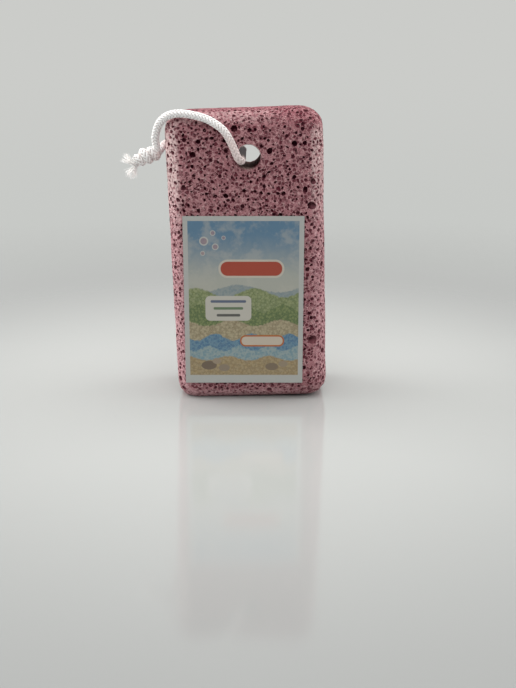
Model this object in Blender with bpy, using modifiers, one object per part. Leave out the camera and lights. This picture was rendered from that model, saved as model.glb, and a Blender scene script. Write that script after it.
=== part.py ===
"""A foamed pumice bar for the feet, with a paper label and a braided hanging cord.

Metres, +Z up, front towards -Y. The origin is the middle of the flat base, under the bar.
"""

import math
import random

import bmesh
import bpy
from mathutils import Matrix, Vector

# The bar
BAR_WIDTH = 0.0520
BAR_THICKNESS = 0.0320
BAR_HEIGHT = 0.0984
EDGE_RADIUS = 0.0065
EDGE_SEGMENTS = 4
LEAN = math.radians(1.7)  # the bar leans to its left on a base that was cut level
BASE_CUT = 0.00045  # how far the middle of the bar's lower end lies under the level base

# The drilled hole, measured on the bar itself
BORE_RADIUS = 0.0040
BORE_X = 0.0012
BORE_BELOW_TOP = 0.0152
BORE_SIDES = 32
RIM_CHAMFER = 0.0005

# The pits
PIT_COUNT = 500
PIT_RADIUS_MIN = 0.00072
PIT_RADIUS_MAX = 0.00150
PIT_SIZE_POWER = 2.2  # above 1, small pits outnumber large ones
PIT_WALL = 0.00020  # least width of stone between two pits
PIT_SIDES = (5, 6, 7)
PIT_DEPTH_PER_RADIUS = (1.0, 1.5)
PIT_PROUD_PER_RADIUS = 0.12  # how far a pit's cutter stands out of the stone
PIT_STRETCH = (0.85, 1.05)
PIT_REACH_PER_RADIUS = 1.18  # the widest that a cutter gets, at its proud end
PIT_SEED = 23
BASE_CLEAR = 0.0050  # the middle of the base has no pit
BASE_RING = 0.0012  # and no pit breaks the rim that the bar stands on
# Large pits that the front of the bar shows: x, z and radius on the bar's front face
LARGE_PITS = (
    (0.0219, 0.0670, 0.00155),
    (0.0214, 0.0212, 0.00160),
    (-0.0167, 0.0846, 0.00125),
    (-0.0030, 0.0925, 0.00135),
    (0.0226, 0.0748, 0.00120),
    (0.0162, 0.0872, 0.00115),
    (0.0082, 0.0850, 0.00115),
)

# The label
LABEL_WIDTH = 0.0402
LABEL_HEIGHT = 0.0576
LABEL_X = -0.0029
LABEL_Z = 0.0350
LABEL_THICKNESS = 0.00025
TOUCH_GAP = 0.0003

# The cord and its knot
CORD_RADIUS = 0.00135
CORD_STEP = 0.0032
FINE_STEPS = 16  # between two points of a route, before it is cut into even steps
# The cord's centreline in millimetres: from the knot over the bar's corner, down the front, through the hole,
# along the back and round the side to the knot
CORD_ROUTE = (
    (-31.7, -8.2, 85.9),
    (-31.85, -9.3, 88.3),
    (-31.2, -10.7, 91.0),
    (-29.9, -12.3, 93.6),
    (-27.4, -13.9, 95.6),
    (-24.0, -15.2, 96.5),
    (-19.4, -16.2, 96.15),
    (-14.8, -16.9, 94.95),
    (-11.3, -17.8, 93.1),
    (-8.8, -18.1, 91.0),
    (-7.4, -18.2, 88.1),
    (-6.1, -18.4, 85.2),
    (-5.25, -18.45, 83.55),
    (-4.65, -18.35, 82.75),
    (-4.05, -17.9, 82.15),
    (-3.6, -17.1, 81.8),
    (-3.42, -16.2, 81.7),
    (-3.38, -15.0, 81.74),
    (-3.37, -13.0, 81.82),
    (-3.37, -11.0, 81.92),
    (-3.4, -8.0, 82.1),
    (-3.45, 0.0, 82.5),
    (-3.5, 7.0, 82.8),
    (-3.5, 12.0, 82.9),
    (-3.45, 15.0, 82.95),
    (-4.05, 17.4, 83.0),
    (-6.0, 19.1, 83.2),
    (-9.3, 19.4, 83.6),
    (-14.0, 18.5, 84.2),
    (-20.0, 18.0, 84.9),
    (-25.8, 17.3, 85.4),
    (-29.5, 14.0, 85.5),
    (-30.7, 9.0, 85.3),
    (-30.8, 4.0, 85.0),
    (-30.9, -0.6, 84.6),
    (-31.0, -4.7, 84.1),
)
KNOT_LUMPS = (  # centre in millimetres, radius in metres, of the wraps from the bar outwards
    ((-31.6, -7.6, 83.0), 0.0024),
    ((-33.6, -7.8, 82.9), 0.0027),
    ((-35.6, -8.0, 82.3), 0.0027),
    ((-37.3, -8.1, 81.6), 0.0024),
)
WRAP_HALF_THICKNESS = 0.00145
WRAP_TURN = math.radians(28)
TAIL_RADII = (0.00115, 0.00120, 0.00135, 0.00090)
TAIL_ROUTES = (
    ((-37.8, -8.4, 80.6), (-39.4, -8.8, 80.3), (-40.8, -9.1, 80.7), (-42.1, -9.3, 81.8)),
    ((-37.6, -7.9, 80.3), (-39.0, -7.7, 79.0), (-40.4, -7.6, 77.9), (-41.6, -7.5, 76.4)),
)


def clear_scene():
    for thing in list(bpy.data.objects):
        bpy.data.objects.remove(thing, do_unlink=True)


def collection(name):
    made = bpy.data.collections.new(name)
    bpy.context.scene.collection.children.link(made)
    return made


def material(name, colour, roughness, metallic=0.0):
    made = bpy.data.materials.new(name)
    made.use_nodes = True
    shader = made.node_tree.nodes["Principled BSDF"]
    shader.inputs["Base Color"].default_value = (*colour, 1.0)
    shader.inputs["Roughness"].default_value = roughness
    shader.inputs["Metallic"].default_value = metallic
    return made


def keep_in(thing, home):
    for old in list(thing.users_collection):
        old.objects.unlink(thing)
    home.objects.link(thing)


def as_cutter(thing, cutters):
    keep_in(thing, cutters)
    thing.hide_render = True
    thing.display_type = "WIRE"
    return thing


def boolean(target, cutter, operation):
    step = target.modifiers.new(cutter.name, "BOOLEAN")
    step.operation = operation
    step.solver = "EXACT"
    step.object = cutter


def bar_to_world():
    """The bar's own frame, base middle at its origin, put on its lean and lowered into the level base."""
    return Matrix.Translation((0, 0, -BASE_CUT)) @ Matrix.Rotation(-LEAN, 4, "Y")


def bore_centre():
    return bar_to_world() @ Vector((BORE_X, 0, BAR_HEIGHT - BORE_BELOW_TOP))


def box_object(name, size, centre):
    bpy.ops.mesh.primitive_cube_add(size=1, location=centre)
    made = bpy.context.object
    made.name = name
    made.scale = size
    bpy.ops.object.transform_apply(location=False, rotation=False, scale=True)
    return made


def on_the_rounding(point):
    """A point of the sharp box moved onto the rounded one, in the bar's frame, and its outward normal."""
    inner = Vector((BAR_WIDTH / 2, BAR_THICKNESS / 2, BAR_HEIGHT / 2)) - Vector((EDGE_RADIUS,) * 3)
    middle = Vector((0, 0, BAR_HEIGHT / 2))
    local = point - middle
    held = Vector([max(-limit, min(limit, value)) for value, limit in zip(local, inner)])
    normal = (local - held).normalized()
    return middle + held + normal * EDGE_RADIUS, normal


def random_point(rng):
    """An even random point on the sharp box, in the bar's frame."""
    w, t, h = BAR_WIDTH, BAR_THICKNESS, BAR_HEIGHT
    axis = rng.choices((0, 1, 2), weights=(t * h, w * h, w * t))[0]
    point = [rng.uniform(-w / 2, w / 2), rng.uniform(-t / 2, t / 2), rng.uniform(0, h)]
    ends = ((-w / 2, w / 2), (-t / 2, t / 2), (0, h))[axis]
    point[axis] = rng.choice(ends)
    return Vector(point)


def pit_allowed(place, radius):
    """Keeps pits off the hole, the hidden middle of the label and the base's contact."""
    bore = bore_centre()
    reach = PIT_REACH_PER_RADIUS * radius + PIT_WALL
    if math.hypot(place.x - bore.x, place.z - bore.z) < BORE_RADIUS + RIM_CHAMFER + reach:
        return False
    under_label = (
        place.y < 0
        and abs(place.x - LABEL_X) < LABEL_WIDTH / 2 - PIT_RADIUS_MAX
        and abs(place.z - LABEL_Z) < LABEL_HEIGHT / 2 - PIT_RADIUS_MAX
    )
    if under_label:
        return False
    if place.z < 0:
        return math.hypot(place.x, place.y) > BASE_CLEAR + radius
    return place.z > radius + BASE_RING


def pit_places():
    """World place, outward normal and radius of each pit, with PIT_WALL or more of stone between them."""
    rng = random.Random(PIT_SEED)
    world = bar_to_world()
    found = []
    for x, z, radius in LARGE_PITS:
        place, normal = on_the_rounding(Vector((x, -BAR_THICKNESS / 2, z)))
        found.append((world @ place, world.to_3x3() @ normal, radius))
    while len(found) < PIT_COUNT:
        spread = rng.random() ** PIT_SIZE_POWER
        radius = PIT_RADIUS_MIN + (PIT_RADIUS_MAX - PIT_RADIUS_MIN) * spread
        place, normal = on_the_rounding(random_point(rng))
        place, normal = world @ place, world.to_3x3() @ normal
        spaced = all(
            (place - other).length > PIT_REACH_PER_RADIUS * (radius + size) + PIT_WALL
            for other, _, size in found
        )
        if spaced and pit_allowed(place, radius):
            found.append((place, normal, radius))
    return found


def pit_cutter(cutters):
    """One mesh of small blunt spikes, each standing through the surface with its point inside the stone."""
    rng = random.Random(PIT_SEED + 1)
    mesh = bpy.data.meshes.new("pits")
    work = bmesh.new()
    for place, normal, radius in pit_places():
        depth = radius * rng.uniform(*PIT_DEPTH_PER_RADIUS)
        proud = PIT_PROUD_PER_RADIUS * radius
        if place.z < 0:
            place = Vector((place.x, place.y, 0))
        turned = normal.to_track_quat("-Z", "Y").to_matrix().to_4x4()
        spun = Matrix.Rotation(rng.uniform(0, math.tau), 4, "Z")
        stretched = Matrix.Diagonal((rng.uniform(*PIT_STRETCH), rng.uniform(*PIT_STRETCH), 1, 1))
        centre = place - normal * (depth - proud) / 2
        bmesh.ops.create_cone(
            work,
            cap_ends=True,
            segments=rng.choice(PIT_SIDES),
            radius1=radius * (1 + proud / depth),
            radius2=0,
            depth=depth + proud,
            matrix=Matrix.Translation(centre) @ turned @ spun @ stretched,
        )
    work.to_mesh(mesh)
    work.free()
    made = bpy.data.objects.new("pits", mesh)
    cutters.objects.link(made)
    return as_cutter(made, cutters)


def bore_cutter(cutters):
    """The drill's way through the bar, turned from half its outline and flared at both crumbled mouths."""
    face = BAR_THICKNESS / 2
    end = face + RIM_CHAMFER
    flared = BORE_RADIUS + 2 * RIM_CHAMFER
    outline = (
        (0, end),
        (flared, end),
        (BORE_RADIUS, face - RIM_CHAMFER),
        (BORE_RADIUS, RIM_CHAMFER - face),
        (flared, -end),
        (0, -end),
    )
    mesh = bpy.data.meshes.new("drill")
    mesh.from_pydata([(x, 0, z) for x, z in outline], [(i, i + 1) for i in range(len(outline) - 1)], [])
    drill = bpy.data.objects.new("drill", mesh)
    drill.location = bore_centre()
    drill.rotation_euler = (math.radians(90), 0, 0)
    turned = drill.modifiers.new("turned", "SCREW")
    turned.steps = turned.render_steps = BORE_SIDES
    turned.use_merge_vertices = True
    turned.merge_threshold = 0.00001
    cutters.objects.link(drill)
    return as_cutter(drill, cutters)


def pumice_block(parts, cutters):
    bar = box_object("pumice_block", (BAR_WIDTH, BAR_THICKNESS, BAR_HEIGHT), (0, 0, BAR_HEIGHT / 2))
    bar.data.transform(Matrix.Translation((0, 0, BAR_HEIGHT / 2)))
    bar.location = (0, 0, -BASE_CUT)
    bar.rotation_euler = (0, -LEAN, 0)
    rounding = bar.modifiers.new("rounding", "BEVEL")
    rounding.width = EDGE_RADIUS
    rounding.segments = EDGE_SEGMENTS
    floor_cut = box_object("floor_cut", (0.1, 0.1, 0.02), (0, 0, -0.01))
    boolean(bar, as_cutter(floor_cut, cutters), "DIFFERENCE")
    boolean(bar, bore_cutter(cutters), "DIFFERENCE")
    boolean(bar, pit_cutter(cutters), "DIFFERENCE")
    bar.data.materials.append(material("pumice", (0.36, 0.13, 0.14), 0.95))
    keep_in(bar, parts)
    return bar


def paper_label(parts):
    front = -(BAR_THICKNESS / 2 + TOUCH_GAP + LABEL_THICKNESS / 2)
    label = box_object("paper_label", (LABEL_WIDTH, LABEL_THICKNESS, LABEL_HEIGHT), (LABEL_X, front, LABEL_Z))
    label.data.materials.append(material("printed_paper", (0.55, 0.56, 0.50), 0.5))
    keep_in(label, parts)
    return label


def smooth_route(points, step):
    """Points a step apart along a smooth curve through the given ones."""
    padded = [2 * points[0] - points[1], *points, 2 * points[-1] - points[-2]]
    fine = []
    for a, b, c, d in zip(padded, padded[1:], padded[2:], padded[3:]):
        second = 2 * a - 5 * b + 4 * c - d
        third = 3 * b - a - 3 * c + d
        for i in range(FINE_STEPS):
            t = i / FINE_STEPS
            fine.append(0.5 * (2 * b + (c - a) * t + second * t**2 + third * t**3))
    fine.append(points[-1])
    lengths = [0.0]
    for start, end in zip(fine, fine[1:]):
        lengths.append(lengths[-1] + (end - start).length)
    count = round(lengths[-1] / step)
    route = []
    at = 0
    for i in range(count + 1):
        goal = lengths[-1] * i / count
        while at < len(fine) - 2 and lengths[at + 1] < goal:
            at += 1
        share = (goal - lengths[at]) / (lengths[at + 1] - lengths[at])
        route.append(fine[at].lerp(fine[at + 1], share))
    return route


def tube(name, route, radii, home):
    """A filled tube along the route, as a curve object; radii is one value or one for each point."""
    curve = bpy.data.curves.new(name, "CURVE")
    curve.dimensions = "3D"
    curve.bevel_depth = 1.0
    curve.bevel_resolution = 2
    curve.use_fill_caps = True
    line = curve.splines.new("POLY")
    line.points.add(len(route) - 1)
    for i, place in enumerate(route):
        line.points[i].co = (*place, 1)
        line.points[i].radius = radii if isinstance(radii, float) else radii[i]
    made = bpy.data.objects.new(name, curve)
    home.objects.link(made)
    return made


def in_metres(points):
    return [Vector(point) / 1000 for point in points]


def cord(parts):
    made = tube("cord", smooth_route(in_metres(CORD_ROUTE), CORD_STEP), CORD_RADIUS, parts)
    made.data.materials.append(material("white_cord", (0.75, 0.72, 0.70), 0.8))
    return made


def tube_mesh(name, route, radii, cutters):
    """The same tube as a closed mesh, so that it can be joined to another piece."""
    curve = tube(name, route, radii, cutters)
    bpy.context.view_layer.update()
    depsgraph = bpy.context.evaluated_depsgraph_get()
    mesh = bpy.data.meshes.new_from_object(curve.evaluated_get(depsgraph))
    bpy.data.objects.remove(curve, do_unlink=True)
    work = bmesh.new()
    work.from_mesh(mesh)
    bmesh.ops.remove_doubles(work, verts=work.verts, dist=0.00001)
    work.to_mesh(mesh)
    work.free()
    made = bpy.data.objects.new(name, mesh)
    cutters.objects.link(made)
    return as_cutter(made, cutters)


def wrap(name, centre, radius, along):
    """One turn of cord in the knot, a flattened ball whose flat side faces along the knot."""
    bpy.ops.mesh.primitive_uv_sphere_add(segments=12, ring_count=8, radius=1, location=centre)
    made = bpy.context.object
    made.name = name
    made.scale = (radius, radius, WRAP_HALF_THICKNESS)
    tilt = Matrix.Rotation(WRAP_TURN, 3, "Y")
    made.rotation_euler = (tilt @ along.to_track_quat("Z", "Y").to_matrix()).to_euler()
    bpy.ops.object.transform_apply(location=False, rotation=False, scale=True)
    return made


def cord_knot(parts, cutters):
    centres = in_metres([centre for centre, _ in KNOT_LUMPS])
    along = (centres[-1] - centres[0]).normalized()
    wraps = [
        wrap(f"wrap_{i + 1}", centre, radius, along)
        for i, (centre, (_, radius)) in enumerate(zip(centres, KNOT_LUMPS))
    ]
    knot = wraps[0]
    knot.name = "cord_knot"
    for other in wraps[1:]:
        boolean(knot, as_cutter(other, cutters), "UNION")
    for i, route in enumerate(TAIL_ROUTES):
        tail = tube_mesh(f"tail_{i + 1}", in_metres(route), TAIL_RADII, cutters)
        boolean(knot, tail, "UNION")
    knot.data.materials.append(material("white_cord_knot", (0.75, 0.72, 0.70), 0.8))
    keep_in(knot, parts)
    return knot


def main():
    clear_scene()
    parts = collection("pumice_stone")
    cutters = collection("cutters")
    pumice_block(parts, cutters)
    paper_label(parts)
    cord(parts)
    cord_knot(parts, cutters)


main()
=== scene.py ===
# A pink pumice bar for the feet, with a paper label and a braided hanging cord, in metres around its solids

import math
import random

import bmesh
import bpy
import numpy as np
from mathutils import Matrix, Vector


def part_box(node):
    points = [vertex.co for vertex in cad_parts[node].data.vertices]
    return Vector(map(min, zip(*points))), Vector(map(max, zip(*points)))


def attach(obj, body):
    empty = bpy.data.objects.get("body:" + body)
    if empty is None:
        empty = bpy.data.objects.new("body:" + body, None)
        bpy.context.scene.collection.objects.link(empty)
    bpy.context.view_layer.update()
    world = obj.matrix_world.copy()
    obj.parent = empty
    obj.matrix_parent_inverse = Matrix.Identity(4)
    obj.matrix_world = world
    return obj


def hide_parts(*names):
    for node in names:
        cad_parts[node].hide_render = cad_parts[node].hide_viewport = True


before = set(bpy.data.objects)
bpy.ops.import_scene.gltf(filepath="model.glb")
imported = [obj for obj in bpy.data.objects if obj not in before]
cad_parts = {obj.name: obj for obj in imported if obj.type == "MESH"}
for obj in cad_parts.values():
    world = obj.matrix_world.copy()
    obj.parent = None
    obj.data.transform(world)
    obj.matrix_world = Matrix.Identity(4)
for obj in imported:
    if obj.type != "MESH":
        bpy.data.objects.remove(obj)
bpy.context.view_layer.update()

MM = 0.001

# The bar, as its solid is built
BAR = Vector((0.0520, 0.0320, 0.0984))
EDGE_RADIUS = 0.0065
LEAN = math.radians(1.7)
BASE_CUT = 0.00045
BORE_RADIUS = 0.0040
BORE_X = 0.0012
BORE_BELOW_TOP = 0.0152
BORE_CLEAR = 0.0002  # what a pit keeps off the hole, besides PIT_WALL

# Pits that the solid has too, all but one, and the fine pores that only the finished bar has
PIT_COUNT = 500
PIT_RADIUS = (0.00072, 0.00150)
PIT_SIZE_POWER = 2.2
PIT_REACH = 1.18  # the widest that the solid's pit gets, per radius
PIT_WALL = 0.00020  # least width of stone between two pits
PIT_SEED = 23
BASE_CLEAR = 0.0050  # the middle of the base has no pit
BASE_RING = 0.0012  # and no pit breaks the rim that the bar stands on
LABEL_MARGIN = 0.0015
LARGE_PITS = (
    (0.0219, 0.0670, 0.00155),
    (0.0214, 0.0212, 0.00160),
    (-0.0167, 0.0846, 0.00125),
    (-0.0030, 0.0925, 0.00135),
    (0.0226, 0.0748, 0.00120),
    (0.0162, 0.0872, 0.00115),
    (0.0082, 0.0850, 0.00115),
)
SHALLOW_PIT = (0.0214, -0.0160, -0.0280)  # the second large pit, from the bar's middle
PIT_SHRINK = 0.70  # a rounded pore looks as wide as a wider pointed pit
MIDDLE_PORES = 3200
MIDDLE_RADIUS = (0.00042, 0.00072)
SMALL_PORES = 1200
SMALL_RADIUS = (0.00020, 0.00034)
PORE_SPACING = 1.05
PORE_GRID = 0.0022  # more than any two pores' reach
PORE_TILT = 0.35
SKIN_VOXEL = 0.0018
# Which of the bar's materials each kind of cut shows
SKIN, PORE, BORE = range(3)

# The cord
CORD_DIAMETER = 0.0027
CORD_ROUTE = (
    (-31.7, -8.2, 85.9),
    (-31.85, -9.3, 88.3),
    (-31.2, -10.7, 91.0),
    (-29.9, -12.3, 93.6),
    (-27.4, -13.9, 95.6),
    (-24.0, -15.2, 96.5),
    (-19.4, -16.2, 96.15),
    (-14.8, -16.9, 94.95),
    (-11.3, -17.8, 93.1),
    (-8.8, -18.1, 91.0),
    (-7.0, -18.2, 88.1),
    (-5.65, -18.4, 85.2),
    (-4.95, -18.45, 83.5),
    (-4.5, -18.35, 82.7),
    (-4.05, -17.9, 82.15),
    (-3.6, -17.1, 81.8),
    (-3.42, -16.2, 81.7),
    (-3.38, -15.0, 81.74),
    (-3.37, -13.0, 81.82),
    (-3.37, -11.0, 81.92),
    (-3.4, -8.0, 82.1),
    (-3.45, 0.0, 82.5),
    (-3.5, 7.0, 82.8),
    (-3.5, 12.0, 82.9),
    (-3.45, 15.0, 82.95),
    (-4.05, 17.4, 83.0),
    (-6.0, 19.1, 83.2),
    (-9.3, 19.4, 83.6),
    (-14.0, 18.5, 84.2),
    (-20.0, 18.0, 84.9),
    (-25.8, 17.3, 85.4),
    (-29.5, 14.0, 85.5),
    (-30.7, 9.0, 85.3),
    (-30.8, 4.0, 85.0),
    (-30.9, -0.6, 84.6),
    (-31.0, -4.7, 84.1),
)
# How both ends of the cord run on into the knot
INTO_KNOT_FRONT = (-32.0, -8.0, 83.4)
INTO_KNOT_BACK = (-31.6, -6.9, 83.2)

# The camera, where the photograph was taken
CAMERA_PLACE = (0.0019, -0.3219, 0.10725)
CAMERA_DOWN = math.radians(15.924)
CAMERA_LENS = 48.66
SENSOR_WIDTH = 36.0


# Modelling by hand


def deselect_all():
    if bpy.context.mode != "OBJECT":
        bpy.ops.object.mode_set(mode="OBJECT")
    bpy.ops.object.select_all(action="DESELECT")


def take(piece):
    """Makes the piece the one that operators act on."""
    deselect_all()
    piece.select_set(True)
    bpy.context.view_layer.objects.active = piece
    return piece


def started(name):
    """The primitive just added, named and with its place in its mesh."""
    piece = bpy.context.object
    piece.name = piece.data.name = name
    bpy.ops.object.transform_apply(location=True, rotation=True, scale=True)
    return take(piece)


def apply_modifier(piece, name, kind, **settings):
    take(piece)
    step = piece.modifiers.new(name, kind)
    for key, value in settings.items():
        setattr(step, key, value)
    bpy.ops.object.modifier_apply(modifier=step.name)


def select_faces(piece, wanted):
    """Enters edit mode with only the faces that the test accepts selected."""
    take(piece)
    bpy.ops.object.mode_set(mode="EDIT")
    bpy.ops.mesh.select_all(action="DESELECT")
    bpy.ops.mesh.select_mode(type="FACE")
    work = bmesh.from_edit_mesh(piece.data)
    for face in work.faces:
        face.select_set(bool(wanted(face.calc_center_median(), face.normal)))
    bmesh.update_edit_mesh(piece.data)


def leave_edit():
    bpy.ops.object.mode_set(mode="OBJECT")


def mesh_piece(name, vertices, faces):
    """One object from arrays of vertices and faces."""
    mesh = bpy.data.meshes.new(name)
    mesh.from_pydata(vertices, [], faces)
    mesh.update()
    piece = bpy.data.objects.new(name, mesh)
    bpy.context.scene.collection.objects.link(piece)
    return piece


def smooth(piece, angle):
    take(piece)
    bpy.ops.object.shade_smooth_by_angle(angle=math.radians(angle))


def ripple(piece, name, size, depth):
    """Moves the surface in and out by a cloud texture of that size."""
    clouds = bpy.data.textures.new(name, "CLOUDS")
    clouds.noise_scale = size
    apply_modifier(
        piece, name, "DISPLACE", texture=clouds, texture_coords="LOCAL", strength=depth, mid_level=0.5
    )


# Materials


class Wire:
    """A number on its way through a material; arithmetic on it adds the nodes."""

    def __init__(self, finish, socket):
        self.finish = finish
        self.socket = socket

    def maths(self, operation, *others, clamp=False):
        settings = {"operation": operation, "use_clamp": clamp}
        return self.finish.add("Math", settings, dict(enumerate((self, *others))))

    def __add__(self, other):
        return self.maths("ADD", other)

    __radd__ = __add__

    def __sub__(self, other):
        return self.maths("SUBTRACT", other)

    def __rsub__(self, other):
        return self.finish.add("Math", {"operation": "SUBTRACT"}, {0: other, 1: self})

    def __mul__(self, other):
        return self.maths("MULTIPLY", other)

    __rmul__ = __mul__

    def __truediv__(self, other):
        return self.maths("DIVIDE", other)

    def __pow__(self, other):
        return self.maths("POWER", other)

    def __abs__(self):
        return self.maths("ABSOLUTE")

    def least(self, other):
        return self.maths("MINIMUM", other)

    def most(self, other):
        return self.maths("MAXIMUM", other)

    def sine(self):
        return self.maths("SINE")

    def clamped(self):
        return self.maths("ADD", 0.0, clamp=True)

    def step(self, start, end):
        """Rises smoothly from 0 at start to 1 at end, or falls where end is the lower one."""
        low, high = min(start, end), max(start, end)
        inputs = {"Value": self, "From Min": low, "From Max": high}
        rise = self.finish.add("MapRange", {"interpolation_type": "SMOOTHSTEP"}, inputs)
        return rise if start < end else 1 - rise


class Finish:
    """A material in the making."""

    def __init__(self, name, **shader_values):
        self.material = bpy.data.materials.new(name)
        self.material.use_nodes = True
        self.tree = self.material.node_tree
        self.shader = self.tree.nodes["Principled BSDF"]
        for key, value in shader_values.items():
            self.shader.inputs[key.replace("_", " ").title().replace("Ior", "IOR")].default_value = value

    def join(self, value, socket):
        if isinstance(value, Wire):
            self.tree.links.new(value.socket, socket)
        else:
            socket.default_value = value

    def add(self, kind, settings=None, inputs=None, out=0):
        """One node of that type: its settings first, then the values or wires of its sockets."""
        node = self.tree.nodes.new("ShaderNode" + kind)
        for key, value in (settings or {}).items():
            setattr(node, key, value)
        for key, value in (inputs or {}).items():
            self.join(value, node.inputs[key])
        return Wire(self, node.outputs[out])

    def place(self, location=(0, 0, 0), rotation=(0, 0, 0), scale=(1, 1, 1)):
        coordinates = self.add("TexCoord", out="Object")
        inputs = {"Vector": coordinates, "Location": location, "Rotation": rotation, "Scale": scale}
        return self.add("Mapping", None, inputs)

    def parts(self, vector):
        return [self.add("SeparateXYZ", None, {0: vector}, out=i) for i in range(3)]

    def vector(self, operation, *values, out=0):
        return self.add("VectorMath", {"operation": operation}, dict(enumerate(values)), out)

    def noise(self, vector, size, detail=2.0, out=0):
        return self.add("TexNoise", None, {"Vector": vector, "Scale": 1 / size, "Detail": detail}, out)

    def cells(self, vector, size, feature="F1", out=0):
        return self.add("TexVoronoi", {"feature": feature}, {"Vector": vector, "Scale": 1 / size}, out)

    def tint(self, factor, first, second):
        """The first colour where the factor is 0, and the second where it is 1."""
        inputs = {0: factor, 6: first, 7: second}
        return self.add("Mix", {"data_type": "RGBA"}, inputs, out=2)

    def scaled(self, vector, amount):
        return self.add("VectorMath", {"operation": "SCALE"}, {0: vector, 3: amount})

    def bump(self, height, depth, strength):
        normal = self.add("Bump", None, {"Height": height, "Distance": depth, "Strength": strength})
        self.join(normal, self.shader.inputs["Normal"])

    def paint(self, tone):
        self.join(tone, self.shader.inputs["Base Color"])

    def fade(self, factor):
        """Lets the surface go clear where the factor is 1."""
        clear = self.add("BsdfTransparent")
        shown = self.add("MixShader", None, {0: factor, 1: Wire(self, self.shader.outputs[0]), 2: clear})
        self.join(shown, self.tree.nodes["Material Output"].inputs["Surface"])

    def wear(self, piece):
        piece.data.materials.clear()
        piece.data.materials.append(self.material)


def colour(red, green, blue):
    """A screen colour, 0 to 255, as the light that a shader wants."""
    shares = (value / 255 for value in (red, green, blue))
    return (*(v / 12.92 if v <= 0.04045 else ((v + 0.055) / 1.055) ** 2.4 for v in shares), 1.0)


# The camera and the light


def camera():
    data = bpy.data.cameras.new("camera")
    data.lens = CAMERA_LENS
    data.sensor_width = SENSOR_WIDTH
    made = bpy.data.objects.new("camera", data)
    made.location = CAMERA_PLACE
    made.rotation_euler = (math.radians(90) - CAMERA_DOWN, 0, 0)
    bpy.context.scene.collection.objects.link(made)
    bpy.context.scene.camera = made


# Each light's name, place, aim, width and height, and watts
LIGHTS = (
    ("above", (0.0, 0.06, 0.75), (0.0, 0.02, 0.0), (0.9, 0.6), 5.2),
    ("before", (0.0, -0.80, 0.85), (0.0, 0.0, 0.05), (1.0, 0.6), 6.0),
    ("left", (-0.70, 0.15, 0.30), (0.0, 0.0, 0.05), (0.6, 0.6), 6.0),
    ("right", (0.70, 0.15, 0.30), (0.0, 0.0, 0.05), (0.6, 0.6), 3.4),
)


def soft_light(name, place, aim, size, power):
    data = bpy.data.lights.new(name, "AREA")
    data.shape = "RECTANGLE"
    data.size, data.size_y = size
    data.energy = power
    made = bpy.data.objects.new(name, data)
    made.location = place
    made.rotation_euler = (Vector(aim) - Vector(place)).to_track_quat("-Z", "Y").to_euler()
    made.visible_glossy = False
    bpy.context.scene.collection.objects.link(made)


ROOM_BEHIND = colour(203, 204, 201)  # the side that the camera looks at
ROOM_BELOW = colour(199, 201, 198)  # the same side under the horizon
ROOM_BEFORE = colour(160, 161, 160)  # the camera's own side


def room_light():
    """A pale room, dimmer on the camera's own side."""
    world = bpy.data.worlds.new("room")
    bpy.context.scene.world = world
    world.use_nodes = True
    tree = world.node_tree
    where = tree.nodes.new("ShaderNodeTexCoord")
    split = tree.nodes.new("ShaderNodeSeparateXYZ")
    tree.links.new(where.outputs["Generated"], split.inputs[0])

    def blend(part, start, end, first, second):
        ramp = tree.nodes.new("ShaderNodeMapRange")
        ramp.interpolation_type = "SMOOTHSTEP"
        ramp.inputs["From Min"].default_value = start
        ramp.inputs["From Max"].default_value = end
        mix = tree.nodes.new("ShaderNodeMix")
        mix.data_type = "RGBA"
        tree.links.new(split.outputs[part], ramp.inputs["Value"])
        tree.links.new(ramp.outputs[0], mix.inputs[0])
        for value, socket in ((first, mix.inputs[6]), (second, mix.inputs[7])):
            if isinstance(value, tuple):
                socket.default_value = value
            else:
                tree.links.new(value, socket)
        return mix.outputs[2]

    behind = blend(2, -0.16, 0.02, ROOM_BELOW, ROOM_BEHIND)
    around = blend(1, -0.5, 0.5, ROOM_BEFORE, behind)
    tree.links.new(around, tree.nodes["Background"].inputs["Color"])


FLOOR_RADIUS = 1.2
# How far from the bar the painted pool of light round it ends and the floor turns darker, and how far it
# fades into the room
FLOOR_LIGHT_POOL = (0.05, 0.22)
FLOOR_FADES = (0.10, 0.45)


def floor():
    """A glossy pale floor with a pool of light painted round the bar, that fades into the room."""
    bpy.ops.mesh.primitive_circle_add(vertices=96, radius=FLOOR_RADIUS, fill_type="NGON")
    made = started("floor")
    finish = Finish("pale_floor", roughness=0.10, ior=1.88)
    reach = finish.vector("LENGTH", finish.place(), out=1)
    # painted pool of light: the floor's colour is paler near the bar and darker further out
    tone = finish.tint(reach.step(*FLOOR_LIGHT_POOL), colour(167, 168, 166), colour(133, 134, 133))
    finish.paint(tone)
    finish.fade(reach.step(*FLOOR_FADES))
    finish.wear(made)


def light():
    view = bpy.context.scene.view_settings
    view.view_transform = "Standard"
    view.look = "None"
    room_light()
    for settings in LIGHTS:
        soft_light(*settings)


# The cord


def lengths_of(line):
    """How far along the line each of its points is."""
    return np.concatenate(([0], np.cumsum(np.linalg.norm(np.diff(line, axis=0), axis=1))))


def smooth_route(points, step):
    """Points a step apart along a smooth curve through the given ones."""
    padded = [2 * points[0] - points[1], *points, 2 * points[-1] - points[-2]]
    fine = []
    for a, b, c, d in zip(padded, padded[1:], padded[2:], padded[3:]):
        second = 2 * a - 5 * b + 4 * c - d
        third = 3 * b - a - 3 * c + d
        for t in np.linspace(0, 1, 24, endpoint=False):
            fine.append(0.5 * (2 * b + (c - a) * t + second * t**2 + third * t**3))
    fine.append(points[-1])
    fine = np.array(fine)
    lengths = lengths_of(fine)
    goals = np.linspace(0, lengths[-1], round(lengths[-1] / step) + 1)
    return np.stack([np.interp(goals, lengths, fine[:, i]) for i in range(3)], axis=1)


def unit(vectors):
    return vectors / np.linalg.norm(vectors, axis=-1, keepdims=True)


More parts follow.
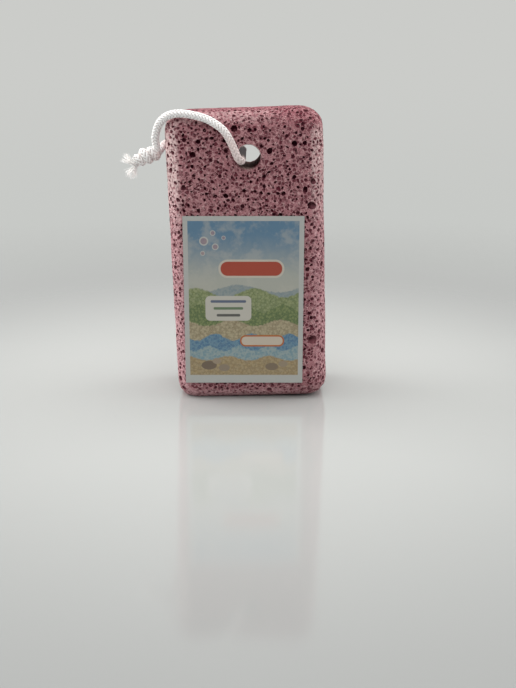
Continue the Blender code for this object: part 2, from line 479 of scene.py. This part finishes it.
def line_frames(line):
    """Along, side and up at each point of a line, with no twist from one point to the next."""
    along = unit(np.gradient(line, axis=0))
    side = np.zeros_like(line)
    start = np.array((0.0, 0.0, 1.0)) if abs(along[0][2]) < 0.9 else np.array((1.0, 0.0, 0.0))
    side[0] = unit(np.cross(along[0], start))
    for i in range(1, len(line)):
        side[i] = unit(side[i - 1] - along[i] * (side[i - 1] @ along[i]))
    return along, side, np.cross(along, side)


class Skein:
    """Gathers tubes into one mesh, marked with the place across and along each tube and its paleness, which
    paints shade where a strand dives under.
    """

    def __init__(self):
        self.vertices, self.faces, self.marks = [], [], []
        self.count = 0

    def tube(self, line, out, across, deep, sides, shade):
        """A flattened tube round the line, of that width across and that thickness in the direction out."""
        along = unit(np.gradient(line, axis=0))
        out = unit(out - along * np.sum(out * along, axis=1, keepdims=True))
        wide = np.cross(along, out)
        angles = np.arange(sides) * math.tau / sides
        across, deep = np.broadcast_to(across, len(line)), np.broadcast_to(deep, len(line))
        ring = (
            line[:, None]
            + wide[:, None] * (np.cos(angles)[:, None] * across[:, None, None] / 2)
            + out[:, None] * (np.sin(angles)[:, None] * deep[:, None, None] / 2)
        )
        n = len(line)
        base = self.count
        self.vertices.append(ring.reshape(-1, 3))
        index = base + np.arange(n * sides).reshape(n, sides)
        turned = np.roll(index, -1, axis=1)
        quads = np.stack((index[:-1], turned[:-1], turned[1:], index[1:]), axis=-1).reshape(-1, 4)
        self.faces.extend(quads.tolist())
        self.faces.append(index[0][::-1].tolist())
        self.faces.append(index[-1].tolist())
        lengths = lengths_of(line)
        self.marks.append(
            np.stack(
                (
                    np.tile(np.cos(angles), n),
                    np.repeat(lengths / MM, sides),
                    np.repeat(np.broadcast_to(shade, n), sides),
                ),
                axis=1,
            )
        )
        self.count += n * sides

    def finish(self, name):
        piece = mesh_piece(name, np.concatenate(self.vertices).tolist(), self.faces)
        marks = np.concatenate(self.marks).astype(np.float32)
        for key, column in (("across", 0), ("along", 1), ("pale", 2)):
            layer = piece.data.attributes.new(key, "FLOAT", "POINT")
            layer.data.foreach_set("value", np.ascontiguousarray(marks[:, column]))
        return piece


BRAID_EACH_WAY = 6  # strands that wind each way round the cord
BRAID_PITCH = 0.0070  # the cord's length in which a strand goes once round
BRAID_STEP = 0.00026
# Shares of the cord's radius
STRAND_THICKNESS = 0.26
STRAND_WIDTH = 0.54
STRAND_SWING = 0.10
CORE_WIDTH = 1.56


def braid(skein, line, radius, pitch=BRAID_PITCH):
    """Strands over two and under two round the line, with a core inside them."""
    _, side, up = line_frames(line)
    distance = lengths_of(line)
    radius = np.broadcast_to(radius, len(line))
    thick = STRAND_THICKNESS * radius
    crossings = 2 * BRAID_EACH_WAY * distance / pitch
    for way in (1, -1):
        for strand in range(BRAID_EACH_WAY):
            angle = way * math.tau * distance / pitch + math.tau * strand / BRAID_EACH_WAY
            over = way * np.sin(math.pi / 2 * (way * crossings + 2 * strand + 0.5))
            away = np.cos(angle)[:, None] * side + np.sin(angle)[:, None] * up
            reach = radius - thick / 2 - STRAND_SWING * radius * (1 - over)
            path = line + away * reach[:, None]
            skein.tube(path, away, STRAND_WIDTH * radius, thick, 6, shade=0.5 + 0.5 * over)
    every = slice(None, None, 4)
    core = CORE_WIDTH * radius[every]
    skein.tube(line[every], side[every], core, core, 8, shade=0)


def in_metres(points):
    return [Vector(point) * MM for point in points]


BESIDE_BAR = (-0.0322, -0.0075, 0.0820)  # where the knot is painted shaded and pink beside the bar


def cord_finish(name):
    """White yarn, with grey-pink painted shade in its grooves, where strands dive under, on the knot beside
    the bar, toward the hole, on the rear strand and in the bore, and a painted glow.
    """
    finish = Finish(
        name,
        roughness=0.8,
        ior=1.4,
        sheen_weight=0.2,
        sheen_roughness=0.5,
        subsurface_weight=0.5,
        subsurface_radius=(1.0, 0.93, 0.88),
        subsurface_scale=0.0010,
        emission_color=colour(244, 246, 250),  # a painted glow: the cord gives off a little light of its own
        emission_strength=0.07,
    )
    marks = ("across", "along", "pale")
    across, along, pale = (finish.add("Attribute", {"attribute_name": key}, out="Fac") for key in marks)
    threads = finish.add("CombineXYZ", None, {0: across * 4, 1: along * 0.8})
    streaks = finish.add("TexNoise", None, {"Vector": threads, "Scale": 1.0, "Detail": 2.0})
    place = finish.place()
    patches = finish.noise(place, 0.004)
    x, y, z = finish.parts(place)
    tone = finish.tint(streaks.step(0.35, 0.65), colour(243, 241, 237), colour(254, 253, 250))
    tone = finish.tint(patches.step(0.3, 0.7) * 0.3, tone, colour(247, 240, 235))
    # painted shade along the edges of each strand, where the grooves between strands are
    groove_shade = abs(across).step(0.55, 1.0)
    tone = finish.tint(groove_shade * 0.75, tone, colour(190, 178, 172))
    # painted shade where a strand dives under the others, and on the cores
    tone = finish.tint(pale.step(0.6, 0.0) * 0.75, tone, colour(188, 172, 167))
    # painted shade, pink from light bounced off the stone: on the knot beside the bar, on the front stretch
    # toward the hole and on the rear strand
    shade_beside_bar = finish.vector("DISTANCE", place, BESIDE_BAR, out=1).step(0.0042, 0.0016)
    shade_toward_hole = x.step(-0.021, -0.009) * z.step(0.0945, 0.087)
    pink_shade = shade_toward_hole.most(shade_beside_bar * 0.8).most(y.step(-0.004, 0.002) * 0.8)
    tone = finish.tint(pink_shade * 0.7, tone, colour(190, 160, 154))
    # painted shade on the cord inside the bore
    shade_in_bore = x.step(-0.0065, -0.0055) * y.step(-0.0170, -0.0150) * y.step(0.017, 0.015)
    tone = finish.tint(shade_in_bore * 0.6, tone, colour(140, 114, 108))
    finish.paint(tone)
    finish.bump(streaks, 0.00005, 0.5)
    return finish


def hanging_cord(finish):
    route = in_metres((INTO_KNOT_FRONT, *CORD_ROUTE, INTO_KNOT_BACK))
    line = smooth_route(route, BRAID_STEP)
    skein = Skein()
    braid(skein, line, CORD_DIAMETER / 2)
    piece = skein.finish("braided_cord")
    smooth(piece, 60)
    finish.wear(piece)
    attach(piece, "root")
    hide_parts("cord")
    path = smooth_route(in_metres(CORD_ROUTE), MM).tolist()


# The knot's middle line and how far its wraps reach from there, in millimetres, from the bar outwards
KNOT_AXIS = (
    (-30.9, -7.6, 83.4, 1.5),
    (-32.2, -7.7, 83.15, 2.35),
    (-34.0, -7.85, 83.0, 2.95),
    (-35.6, -8.0, 82.5, 2.95),
    (-37.3, -8.1, 81.8, 2.7),
    (-38.5, -8.2, 80.9, 1.9),
)
KNOT_TURNS = 3.1
KNOT_START = math.radians(200)
KNOT_CORD_RADIUS = 0.00128
KNOT_BRAID_PITCH = 0.0064
KNOT_CORE_WIDTH = 0.0032
TAIL_ROUTES = (
    ((-37.6, -8.3, 80.7), (-39.0, -8.6, 80.1), (-40.2, -8.9, 80.6), (-41.2, -9.1, 81.5)),
    ((-37.4, -7.9, 80.3), (-38.6, -7.8, 79.4), (-39.4, -7.7, 78.4), (-40.1, -7.6, 77.2)),
)
TAIL_BRAID_RADIUS = 0.00062
TAIL_BRAIDED = 0.62  # the share of a tail that is still braided
TAIL_OPENS = 0.5  # how far along a tail its fibres come out
YARNS_PER_TAIL = 6
YARN_REACH = (0.0012, 0.0026)
YARN_LEAN = (0.25, 0.75)
FIBRES_PER_YARN = 12
FIBRE_THICKNESS = 0.00009
FIBRE_SCATTER = 0.00012


def knot_coil():
    """The wraps' centreline: a helix round the knot's middle line."""
    rows = np.array(KNOT_AXIS) * MM
    lengths = lengths_of(rows[:, :3])
    share = np.linspace(0, 1, 220)
    centre = np.stack([np.interp(share * lengths[-1], lengths, rows[:, i]) for i in range(3)], axis=1)
    reach = np.interp(share * lengths[-1], lengths, rows[:, 3]) - KNOT_CORD_RADIUS
    axis = unit(rows[-1, :3] - rows[0, :3])
    side = unit(np.cross(axis, (0, 1, 0)))
    up = np.cross(axis, side)
    angle = KNOT_START + math.tau * KNOT_TURNS * share
    return centre + reach[:, None] * (np.cos(angle)[:, None] * side + np.sin(angle)[:, None] * up)


def frayed_tail(skein, route, rng):
    """A short end of the braid that opens into yarns of loose fibres."""
    line = smooth_route(in_metres(route), BRAID_STEP)
    body = line[: int(len(line) * TAIL_BRAIDED)]
    widths = np.linspace(1.0, 1.15, len(body)) * TAIL_BRAID_RADIUS
    braid(skein, body, widths)
    along, side, up = line_frames(line)
    start = int(len(line) * TAIL_OPENS)
    for yarn in range(YARNS_PER_TAIL):
        turn = math.tau * yarn / YARNS_PER_TAIL + rng.uniform(-0.3, 0.3)
        lean = rng.uniform(*YARN_LEAN)
        reach = rng.uniform(*YARN_REACH)
        heading = along[-1] + lean * (math.cos(turn) * side[-1] + math.sin(turn) * up[-1])
        for _ in range(FIBRES_PER_YARN):
            spread = np.array([rng.gauss(0, 1) for _ in range(3)])
            curl = np.array([rng.gauss(0, 1) for _ in range(3)])
            away = math.cos(turn) * side[start] + math.sin(turn) * up[start]
            root = line[start] + TAIL_BRAID_RADIUS * 0.7 * away + spread * FIBRE_SCATTER
            far = reach * rng.uniform(0.6, 1.15)
            t = np.linspace(0, 1, 8)[:, None]
            inner = (line[-1] - line[start]) * 0.8
            path = root + inner * t + unit(heading + spread * 0.16) * far * t**1.3
            path = path + curl * far * 0.10 * t**2
            out = np.tile(unit(curl) + 0.01, (8, 1))
            skein.tube(path, out, FIBRE_THICKNESS, FIBRE_THICKNESS, 4, shade=0.8)


def tied_knot(finish):
    skein = Skein()
    coil = smooth_route([Vector(point) for point in knot_coil()[::6]], BRAID_STEP)
    braid(skein, coil, KNOT_CORD_RADIUS, pitch=KNOT_BRAID_PITCH)
    core = smooth_route(in_metres(row[:3] for row in KNOT_AXIS), 0.0005)
    _, side, _ = line_frames(core)
    skein.tube(core, side, KNOT_CORE_WIDTH, KNOT_CORE_WIDTH, 10, shade=0)
    rng = random.Random(5)
    for route in TAIL_ROUTES:
        frayed_tail(skein, route, rng)
    piece = skein.finish("knot_with_frayed_ends")
    smooth(piece, 60)
    finish.wear(piece)
    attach(piece, "root")
    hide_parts("cord_knot")
    return piece


# The pumice bar


def bar_to_world():
    return Matrix.Translation((0, 0, -BASE_CUT)) @ Matrix.Rotation(-LEAN, 4, "Y")


def bore_centre():
    return bar_to_world() @ Vector((BORE_X, 0, BAR.z - BORE_BELOW_TOP))


def on_the_rounding(point):
    """A point of the sharp box moved onto the rounded one, in the bar's frame, and its outward normal."""
    inner = BAR / 2 - Vector((EDGE_RADIUS,) * 3)
    middle = Vector((0, 0, BAR.z / 2))
    local = point - middle
    held = Vector([max(-limit, min(limit, value)) for value, limit in zip(local, inner)])
    normal = (local - held).normalized()
    return middle + held + normal * EDGE_RADIUS, normal


def random_point(rng):
    """An even random point on the sharp box, in the bar's frame."""
    w, t, h = BAR
    axis = rng.choices((0, 1, 2), weights=(t * h, w * h, w * t))[0]
    point = [rng.uniform(-w / 2, w / 2), rng.uniform(-t / 2, t / 2), rng.uniform(0, h)]
    ends = ((-w / 2, w / 2), (-t / 2, t / 2), (0, h))[axis]
    point[axis] = rng.choice(ends)
    return Vector(point)


def off_the_bore(place, reach):
    bore = bore_centre()
    return math.hypot(place.x - bore.x, place.z - bore.z) > BORE_RADIUS + BORE_CLEAR + reach


def under_label(place, margin):
    low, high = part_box("paper_label")
    return (
        place.y < 0
        and low.x + margin < place.x < high.x - margin
        and low.z + margin < place.z < high.z - margin
    )


def pore_allowed(place, radius):
    if not off_the_bore(place, PIT_REACH * radius + PIT_WALL) or under_label(place, LABEL_MARGIN):
        return False
    if place.z < 0:
        return math.hypot(place.x, place.y) > BASE_CLEAR + radius
    return place.z > radius + BASE_RING


def pit_places():
    """The solid's own pits, all but one: place, outward normal and radius."""
    rng = random.Random(PIT_SEED)
    world = bar_to_world()
    found = []
    for x, z, radius in LARGE_PITS:
        place, normal = on_the_rounding(Vector((x, -BAR.y / 2, z)))
        found.append((world @ place, world.to_3x3() @ normal, radius))
    least, most = PIT_RADIUS
    while len(found) < PIT_COUNT:
        radius = least + (most - least) * rng.random() ** PIT_SIZE_POWER
        place, normal = on_the_rounding(random_point(rng))
        place, normal = world @ place, world.to_3x3() @ normal
        spaced = all(
            (place - other).length > PIT_REACH * (radius + size) + PIT_WALL for other, _, size in found
        )
        if spaced and pore_allowed(place, radius):
            found.append((place, normal, radius))
    large = found[: len(LARGE_PITS)]
    rest = found[len(LARGE_PITS) :]
    return large + [(place, normal, radius * PIT_SHRINK) for place, normal, radius in rest]


def pore_places(seed, count, radii, power, others, wall):
    """Even random places for pores that keep off each other, and mostly off the larger ones."""
    rng = random.Random(seed)
    world = bar_to_world()
    grid = {}

    def key(place):
        return tuple(math.floor(value / PORE_GRID) for value in place)

    for place, _, radius in others:
        grid.setdefault(key(place), []).append((place, radius, False))
    found = []
    tries = 0
    while len(found) < count and tries < count * 14:
        tries += 1
        radius = radii[0] + (radii[1] - radii[0]) * rng.random() ** power
        place, normal = on_the_rounding(random_point(rng))
        place, normal = world @ place, world.to_3x3() @ normal
        if not pore_allowed(place, radius):
            continue
        at = key(place)
        near = [
            other
            for x in (-1, 0, 1)
            for y in (-1, 0, 1)
            for z in (-1, 0, 1)
            for other in grid.get((at[0] + x, at[1] + y, at[2] + z), ())
        ]
        if any(
            (place - other).length < (PORE_SPACING if own else wall) * (radius + size)
            for other, size, own in near
        ):
            continue
        grid.setdefault(at, []).append((place, radius, True))
        found.append((place, normal, radius))
    return found


def pore_template(segments, rings):
    """A few-sided ball, and the arrays to copy it by."""
    deselect_all()
    bpy.ops.mesh.primitive_uv_sphere_add(segments=segments, ring_count=rings, radius=1)
    ball = started("pore")
    vertices = np.array([vertex.co for vertex in ball.data.vertices])
    faces = [list(face.vertices) for face in ball.data.polygons]
    bpy.data.objects.remove(ball, do_unlink=True)
    return vertices, faces


def pore_cutter(name, places, template, seed, sunk, stretch, dent):
    """Every pore of one size as one mesh, each copy turned, stretched and dented its own way."""
    rng = np.random.default_rng(seed)
    shape, faces = template
    vertices, all_faces = [], []
    for number, (place, normal, radius) in enumerate(places):
        turn = normal.to_track_quat("Z", "Y").to_matrix()
        turn = turn @ Matrix.Rotation(rng.uniform(0, math.tau), 3, "Z")
        turn = turn @ Matrix.Rotation(rng.normal(0, PORE_TILT), 3, "X")
        scale = np.array((rng.uniform(*stretch), rng.uniform(*stretch), rng.uniform(0.9, 1.1)))
        dents = 1 + rng.uniform(-dent, dent, (len(shape), 1))
        copy = (shape * dents * scale * radius) @ np.array(turn).T
        vertices.append(copy + np.array(place - normal * radius * rng.uniform(*sunk)))
        offset = number * len(shape)
        all_faces.extend([[offset + i for i in face] for face in faces])
    return mesh_piece(name, np.concatenate(vertices).tolist(), all_faces)


def cut_away(piece, cutter, shown):
    """Cuts the cutter's shape out of the piece, whose new faces show that material."""
    cutter.data.materials.clear()
    for made in piece.data.materials:
        cutter.data.materials.append(made)
    cutter.data.polygons.foreach_set("material_index", [shown] * len(cutter.data.polygons))
    apply_modifier(piece, cutter.name, "BOOLEAN", operation="DIFFERENCE", solver="MANIFOLD", object=cutter)
    bpy.data.objects.remove(cutter, do_unlink=True)


MOUTH_DEPTH = 0.0010
MOUTH_FLARE = 1.12
CRUMB_SIZE = 0.0008
CRUMB_DEPTH = 0.00035


def drill():
    """The drill's way through, flared and crumbled at both mouths."""
    deselect_all()
    bpy.ops.mesh.primitive_cylinder_add(
        vertices=56,
        radius=BORE_RADIUS,
        depth=BAR.y - MOUTH_DEPTH,
        location=bore_centre(),
        rotation=(math.radians(90), 0, 0),
    )
    cutter = started("drill")
    for way in (-1, 1):
        select_faces(cutter, lambda centre, normal: normal.y * way > 0.9)
        bpy.ops.mesh.extrude_region_move(TRANSFORM_OT_translate={"value": (0, way * MOUTH_DEPTH, 0)})
        bpy.ops.transform.resize(value=(MOUTH_FLARE, 1, MOUTH_FLARE), center_override=bore_centre())
        leave_edit()
    select_faces(cutter, lambda centre, normal: abs(normal.y) < 0.5)
    bpy.ops.mesh.subdivide(number_cuts=1)
    leave_edit()
    ripple(cutter, "crumbs", CRUMB_SIZE, CRUMB_DEPTH)
    return cutter


SKIN_WAVES = (("swells", 0.014, 0.00045), ("lumps", 0.0045, 0.00030))  # each one's name, size and depth


def rough_bar():
    """The rounded bar with its uneven skin, cut level at the base."""
    deselect_all()
    bpy.ops.mesh.primitive_cube_add(size=1)
    bar = bpy.context.object
    bar.scale = BAR
    bar.location = (0, 0, BAR.z / 2)
    bar = started("pumice_bar")
    bpy.ops.object.mode_set(mode="EDIT")
    bpy.ops.mesh.select_all(action="SELECT")
    bpy.ops.mesh.bevel(offset=EDGE_RADIUS, segments=8)
    leave_edit()
    apply_modifier(bar, "even_skin", "REMESH", mode="VOXEL", voxel_size=SKIN_VOXEL, adaptivity=0)
    for wave in SKIN_WAVES:
        ripple(bar, *wave)
    bar.data.transform(bar_to_world())
    take(bar)
    bpy.ops.object.mode_set(mode="EDIT")
    bpy.ops.mesh.select_all(action="SELECT")
    bpy.ops.mesh.bisect(
        plane_co=(0, 0, 0), plane_no=(0, 0, 1), use_fill=True, clear_inner=True, threshold=0.0000001
    )
    leave_edit()
    return bar


DIAGONAL_RISE = 0.293  # 1 less the cosine of 45 degrees


def stone_depth(finish):
    """A point's place from the bar's middle, its depth under the smooth surface, and how round that is."""
    untilt = Matrix.Rotation(LEAN, 3, "Y")
    shift = untilt @ Vector((0, 0, BASE_CUT)) - Vector((0, 0, BAR.z / 2))
    place = finish.place(location=shift, rotation=(0, LEAN, 0))
    inner = BAR / 2 - Vector((EDGE_RADIUS,) * 3)
    beyond = finish.vector("SUBTRACT", finish.vector("ABSOLUTE", place), inner)
    x, y, z = finish.parts(beyond)
    outer = finish.vector("MAXIMUM", beyond, (0, 0, 0))
    reach = finish.vector("LENGTH", outer, out=1)
    a, b, c = finish.parts(outer)
    depth = EDGE_RADIUS - (reach + x.most(y).most(z).least(0))
    rounding = (1 - a.most(b).most(c) / reach.most(0.0001)) / DIAGONAL_RISE
    return place, depth, rounding.clamped()


# Sizes of what shows in the foam between the cut pores
FOAM_PATCH = 0.011
FOAM_CELL = 0.00125
FOAM_DENT = 0.0015
FOAM_SPECK = 0.0009
FOAM_JITTER = 0.0009
FOAM_WARP = 0.0008
FOAM_BUBBLE = 0.00052
FOAM_GRAIN = 0.00022


def stone_skin():
    """The foamed surface between the pores: thin pink walls, chalky where the edges rub, with a painted
    highlight on the rounded edges, weaker on top and on the right, and painted shade in shallow pores and
    along the top.
    """
    finish = Finish("pumice_skin", roughness=0.95, specular_ior_level=0.15)
    place, _, rounding = stone_depth(finish)
    jitter = finish.noise(place, FOAM_JITTER, detail=3)
    broad = finish.noise(place, FOAM_PATCH)
    grain = finish.noise(place, FOAM_GRAIN)
    walls = finish.cells(place, FOAM_CELL, "DISTANCE_TO_EDGE")
    which, _, other = finish.parts(finish.cells(place, FOAM_CELL, out=1))
    tiny = finish.cells(place, FOAM_BUBBLE, "DISTANCE_TO_EDGE").step(0.06, 0.24)
    shift = finish.scaled(finish.noise(place, FOAM_WARP, out=1), 0.0006)
    warped = finish.vector("ADD", place, shift)
    dents = finish.cells(warped, FOAM_DENT).step(0.38, 0.27)
    specks = finish.cells(warped, FOAM_SPECK).step(0.34, 0.22)

    body = finish.tint(broad.step(0.35, 0.65), colour(158, 105, 111), colour(168, 119, 123))
    body = finish.tint(jitter.step(0.3, 0.7) * 0.5, body, colour(176, 132, 135))
    # painted shade: dark cells, dents, specks and bubbles stand for the shade inside shallow pores that are
    # not cut
    cell = walls.step(0.05, 0.15) * which.step(0.40, 0.60)
    body = finish.tint(cell * (0.45 + other * 0.5), body, colour(90, 36, 47))
    body = finish.tint(tiny * 0.30, body, colour(108, 54, 63))
    body = finish.tint(dents * (0.55 + other * 0.4), body, colour(84, 30, 42))
    body = finish.tint(specks * 0.45, body, colour(98, 46, 56))
    body = finish.tint(walls.step(0.08, 0.02) * 0.35, body, colour(196, 152, 155))
    body = finish.tint(jitter.step(0.56, 0.68) * 0.6, body, colour(206, 168, 168))
    x, y, z = finish.parts(place)
    beyond = abs(x).step(0.0222, 0.0248) * abs(y).step(0.0070, 0.0100)
    upper_part = z.step(0.004, 0.030)
    # painted shade: the top of the bar is darkened against the light from above
    body = finish.tint(z.step(0.0405, 0.0465) * 0.32, body, colour(116, 54, 64))
    # chalk with a painted highlight: the rounded edges are paler, more on the left than on the right, less
    # on top, and paler higher up
    chalk_and_highlight = rounding.step(0.05, 0.42).most(beyond) * jitter.step(0.30, 0.58)
    chalk_and_highlight = chalk_and_highlight * (1 - 0.7 * z.step(0.040, 0.046) - 0.4 * x.step(0.0, 0.020)).clamped()
    chalk_and_highlight_tone = finish.tint(upper_part, colour(206, 162, 166), colour(218, 190, 188))
    body = finish.tint((chalk_and_highlight * (0.72 + 0.4 * upper_part)).clamped(), body, chalk_and_highlight_tone)
    finish.paint(body)
    height = dents * -1.2 - specks * 0.5 - cell * 0.6 + jitter * 0.6 + grain * 0.25 - tiny * 0.35
    finish.bump(height, 0.00022, 0.9)
    return finish


def pore_wall():
    """Inside a pore, with painted shade that darkens with depth."""
    finish = Finish("pumice_pore", roughness=0.95, specular_ior_level=0.1)
    place, depth, rounding = stone_depth(finish)
    jitter = finish.noise(place, 0.0007)
    broad = finish.noise(place, 0.0021, detail=1)
    # painted shade, darker the deeper under the surface
    depth_shade = (depth + (jitter - 0.5) * 0.0004).step(-0.0001, 0.0007)
    body = finish.tint(depth_shade, colour(118, 62, 72), colour(58, 16, 27))
    body = finish.tint(broad.step(0.50, 0.64) * 0.55, body, colour(116, 62, 72))
    body = finish.tint(jitter.step(0.60, 0.70) * 0.5, body, colour(176, 132, 134))
    body = finish.tint(rounding.step(0.05, 0.5) * 0.6, body, colour(152, 98, 106))
    shallow = finish.vector("DISTANCE", place, SHALLOW_PIT, out=1).step(0.0026, 0.0018)
    body = finish.tint(shallow * 0.75, body, colour(146, 92, 99))
    finish.paint(body)
    finish.bump(jitter, 0.0001, 0.6)
    return finish


def bore_wall():
    """The drilled wall: ground pale at both mouths with painted shadow on their lower side, and inside
    painted light on the left and painted shade on the right.
    """
    finish = Finish("drilled_pumice", roughness=0.95, specular_ior_level=0.1)
    place = finish.place()
    x, y, z = finish.parts(place)
    jitter = finish.noise(place, 0.0008, detail=3)
    # the mouths are ground pale on top, with painted shadow on their lower side
    mouth_chalk_and_shadow = finish.tint(z.step(0.0845, 0.0815), colour(222, 200, 198), colour(132, 86, 92))
    deep = (BAR.y / 2 - abs(y) + (jitter - 0.5) * 0.0012).step(0.0004, 0.0030)
    # painted light and shade inside: the wall is pale on the left and dark on the right
    wall = finish.tint(x.step(0.0012, -0.0028), colour(92, 44, 50), colour(176, 154, 144))
    body = finish.tint(deep, mouth_chalk_and_shadow, wall)
    body = finish.tint(jitter.step(0.50, 0.62) * 0.5, body, colour(166, 146, 140))
    body = finish.tint(jitter.step(0.42, 0.32) * 0.5, body, colour(72, 32, 40))
    finish.paint(body)
    finish.bump(jitter, 0.0002, 0.8)
    return finish


def cut_pores(bar):
    pits = pit_places()
    ball = pore_template(7, 5)
    cutter = pore_cutter("pits", pits, ball, seed=31, sunk=(0.25, 0.45), stretch=(0.82, 1.18), dent=0.14)
    cut_away(bar, cutter, PORE)
    middles = pore_places(41, MIDDLE_PORES, MIDDLE_RADIUS, power=1.5, others=pits, wall=0.85)
    ball = pore_template(5, 3)
    cutter = pore_cutter(
        "middles", middles, ball, seed=42, sunk=(0.0, 0.45), stretch=(0.65, 1.40), dent=0.24
    )
    cut_away(bar, cutter, PORE)
    smalls = pore_places(51, SMALL_PORES, SMALL_RADIUS, power=1.2, others=pits + middles, wall=0.9)
    ball = pore_template(3, 3)
    cutter = pore_cutter("smalls", smalls, ball, seed=52, sunk=(-0.1, 0.3), stretch=(0.75, 1.3), dent=0.12)
    cut_away(bar, cutter, PORE)


def pumice_bar():
    bar = rough_bar()
    for finish in (stone_skin(), pore_wall(), bore_wall()):
        bar.data.materials.append(finish.material)
    cut_away(bar, drill(), BORE)
    cut_pores(bar)
    smooth(bar, 45)
    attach(bar, "root")
    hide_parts("pumice_block")


# The paper label


LABEL_CUTS = 47
LABEL_LIFT = 0.0001
GLUE_SIZE = 0.008
GLUE_DEPTH = 0.00018
PAPER_THICKNESS = 0.00012
LABEL_DIM = (0.50, 0.47, 0.43)  # the print's share of its screen colours


def label_finish(low, high):
    """Seaside print inside a paper border, in millimetres from the sheet's middle."""
    finish = Finish("printed_paper", roughness=0.42, ior=1.45)
    centre = (low + high) / 2 / MM
    place = finish.place(location=(-centre.x, 0, -centre.z), scale=(1 / MM,) * 3)
    u, _, v = finish.parts(place)
    width, height = (high.x - low.x) / MM, (high.z - low.z) / MM

    def disc(x, y, radius, soft=0.25, squash=1.0):
        far = ((u - x) ** 2 + ((v - y) / squash) ** 2) ** 0.5
        return far.step(radius + soft / 2, radius - soft / 2)

    def bar(x, y, w, h, corner, soft=0.2):
        across = (abs(u - x) - (w / 2 - corner)).most(0)
        up = (abs(v - y) - (h / 2 - corner)).most(0)
        far = (across**2 + up**2) ** 0.5
        return far.step(corner + soft / 2, corner - soft / 2)

    wobble = finish.noise(place, 5.0, detail=3)
    fine = finish.noise(place, 1.1, detail=3)
    height_of_sky = (v + (wobble - 0.5) * 9).step(5, 24)
    sky = finish.tint(height_of_sky, colour(214, 222, 218), colour(120, 165, 204))
    art = finish.tint((wobble * 0.85 + fine * 0.2).step(0.48, 0.68) * 0.42, sky, colour(232, 234, 228))
    leaves = finish.cells(place, 0.9).step(0.25, 0.65)
    grit = finish.noise(place, 0.35, detail=2)
    waves = (
        (4.4, 1.3, 0.24, 2.0, colour(158, 182, 196), colour(190, 204, 206)),
        (3.0, 1.6, 0.32, 0.4, colour(186, 200, 150), colour(120, 146, 96)),
        (-2.5, 1.4, 0.45, 1.9, colour(158, 178, 124), colour(92, 122, 84)),
        (-7.5, 1.1, 0.38, 3.2, colour(222, 214, 186), colour(172, 158, 128)),
        (-12.5, 1.2, 0.50, 0.2, colour(92, 146, 196), colour(150, 196, 222)),
        (-16.5, 0.9, 0.62, 2.6, colour(150, 192, 212), colour(206, 222, 222)),
        (-20.0, 0.8, 0.45, 4.0, colour(214, 196, 154), colour(176, 154, 118)),
    )
    for level, swing, speed, phase, tone, second in waves:
        crest = (u * speed + phase).sine() * swing + level + (fine - 0.5) * 1.4
        band = (v - crest).step(0.25, -0.25)
        flecks = leaves * 0.6 + (grit - 0.5) * 1.6
        art = finish.tint(band * (0.8 + fine * 0.3), art, finish.tint(flecks.clamped(), tone, second))
    for x, y, radius, squash, tone in (
        (-12.0, -22.5, 2.6, 0.6, colour(146, 132, 118)),
        (-6.8, -23.4, 1.9, 0.65, colour(178, 166, 150)),
        (-9.3, -21.0, 1.5, 0.7, colour(196, 182, 162)),
        (9.5, -23.0, 2.2, 0.6, colour(160, 146, 128)),
        (13.4, -22.0, 1.6, 0.65, colour(188, 176, 156)),
    ):
        art = finish.tint(disc(x, y, radius, 0.3, squash), art, tone)
    for x, y, radius in (
        (-13.2, 20.5, 1.5),
        (-10.2, 23.2, 0.9),
        (-9.4, 18.6, 1.1),
        (-6.6, 21.6, 0.7),
        (-13.6, 16.4, 0.8),
    ):
        ring = disc(x, y, radius) - disc(x, y, radius * 0.72)
        art = finish.tint(ring.clamped() * 0.9, art, colour(240, 244, 244))
        art = finish.tint(disc(x, y, radius * 0.72) * 0.35, art, colour(236, 160, 150))
    banner = bar(2.6, 11.2, 22.0, 6.2, 3.0)
    art = finish.tint(banner, art, colour(244, 240, 232))
    art = finish.tint(bar(2.6, 11.2, 20.6, 4.8, 2.3), art, colour(206, 96, 78))
    panel = bar(-5.2, -2.4, 15.5, 8.6, 1.6)
    art = finish.tint(panel, art, colour(238, 240, 236))
    for row, tone in ((0, colour(70, 100, 150)), (1, colour(96, 140, 96)), (2, colour(70, 74, 78))):
        line = bar(-5.2, -2.4 * row, 12.0 - 2.0 * row, 0.9, 0.4)
        art = finish.tint(line * 0.85, art, tone)
    pill = bar(6.2, -13.8, 15.0, 4.0, 1.9)
    art = finish.tint(pill, art, colour(222, 128, 62))
    art = finish.tint(bar(6.2, -13.8, 14.0, 3.0, 1.4), art, colour(246, 238, 226))
    border = bar(0, 0.6, width - 3.2, height - 4.4, 0.1, 0.15)
    paper = finish.tint(fine.step(0.3, 0.7) * 0.15, colour(167, 168, 164), colour(158, 159, 155))
    finish.paint(finish.tint(border, paper, finish.vector("MULTIPLY", art, LABEL_DIM)))
    finish.bump(wobble, 0.00005, 0.25)
    return finish


def glued_label():
    low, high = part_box("paper_label")
    deselect_all()
    bpy.ops.mesh.primitive_plane_add(size=1, rotation=(math.radians(90), 0, 0))
    sheet = bpy.context.object
    sheet.scale = (high.x - low.x, high.z - low.z, 1)
    sheet.location = (low + high) / 2 + Vector((0, LABEL_LIFT, 0))
    sheet = started("stuck_label")
    bpy.ops.object.mode_set(mode="EDIT")
    bpy.ops.mesh.select_all(action="SELECT")
    bpy.ops.mesh.subdivide(number_cuts=LABEL_CUTS)
    leave_edit()
    ripple(sheet, "glue", GLUE_SIZE, GLUE_DEPTH)
    apply_modifier(sheet, "paper", "SOLIDIFY", thickness=PAPER_THICKNESS, offset=0)
    smooth(sheet, 40)
    label_finish(low, high).wear(sheet)
    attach(sheet, "root")
    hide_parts("paper_label")


def main():
    camera()
    light()
    floor()
    cord_look = cord_finish("white_braid")
    knot = tied_knot(cord_look)
    hanging_cord(cord_look)
    pumice_bar()
    glued_label()


main()
